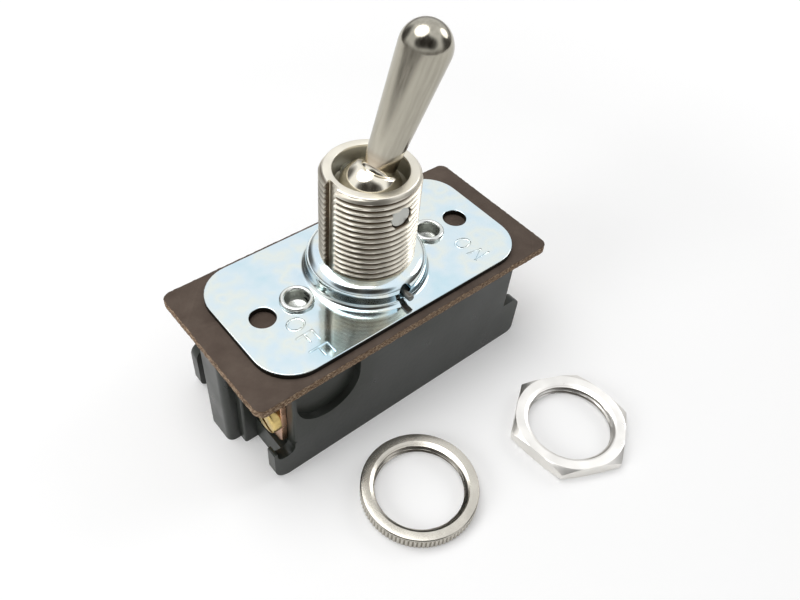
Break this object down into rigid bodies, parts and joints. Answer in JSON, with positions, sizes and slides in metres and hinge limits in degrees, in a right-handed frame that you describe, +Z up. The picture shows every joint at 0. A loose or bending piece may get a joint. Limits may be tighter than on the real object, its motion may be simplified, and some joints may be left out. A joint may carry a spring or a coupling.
{
  "type": "panel toggle switch",
  "caption": "Heavy-duty panel toggle switch with a bat lever, threaded bushing, steel mounting plate, fibre insulator and screw terminals, with its panel nuts beside it.",
  "frame": {"origin": "on the bushing's axis at the panel seat, where the thread leaves the plate's dome", "axes": "+Z up along the bushing, +X along the plate to the ON end, -Y the side with the half-round hollow"},
  "size_m": [0.0458, 0.0462, 0.0488],
  "materials": {
    "black_phenolic": "semi-gloss moulding",
    "vulcanised_fibre": "matt sheet with a fibrous edge",
    "zinc_plate": "bright zinc plating",
    "nickel": "bright nickel plating",
    "brown_phenolic": "plain moulding",
    "copper": "rolled strip",
    "brass": "turned",
    "silver": "satin",
    "spring_steel": "drawn"
  },
  "bodies": {
    "housing": {"base": "black_phenolic", "fibre_insulator": "vulcanised_fibre", "mounting_plate": "zinc_plate", "bushing": "nickel", "pivot_pin": "nickel", "index_pin": "nickel", "rivet_off_end": "nickel", "rivet_on_end": "nickel", "off_front_terminal": "copper", "off_back_terminal": "copper", "on_front_terminal": "copper", "on_back_terminal": "copper", "off_front_screw": "brass", "off_back_screw": "brass", "on_front_screw": "brass", "on_back_screw": "brass", "front_fixed_contact": "silver", "back_fixed_contact": "silver", "hex_nut": "nickel", "knurled_nut": "nickel"},
    "lever": {"lever": "nickel"},
    "rocker": {"rocker": "brown_phenolic", "front_blade": "copper", "back_blade": "copper", "front_moving_contact": "silver", "back_moving_contact": "silver", "blade_rivets": "brass", "plunger_spring": "spring_steel"},
    "plunger": {"plunger": "spring_steel"}
  },
  "joints": [
    {"name": "lever_tilt", "type": "hinge", "parent": "housing", "child": "lever", "pos_m": [0, 0, 0.0088], "axis": [0, 1, 0], "range_deg": [-44, 0]},
    {"name": "rocker_tilt", "type": "hinge", "parent": "housing", "child": "rocker", "pos_m": [0, 0, -0.013], "axis": [0, 1, 0], "range_deg": [0, 15.8]},
    {"name": "plunger_slide", "type": "slide", "parent": "rocker", "child": "plunger", "axis": [-0.1371, 0, 0.9906], "range_m": [-0.0008, 0], "stiffness_N_per_m": 400, "springref_m": 0.001, "deforming": ["plunger_spring"]}
  ],
  "couplings": [
    {"joint": "rocker_tilt", "follows": "lever_tilt", "ratio": -0.35824}
  ]
}
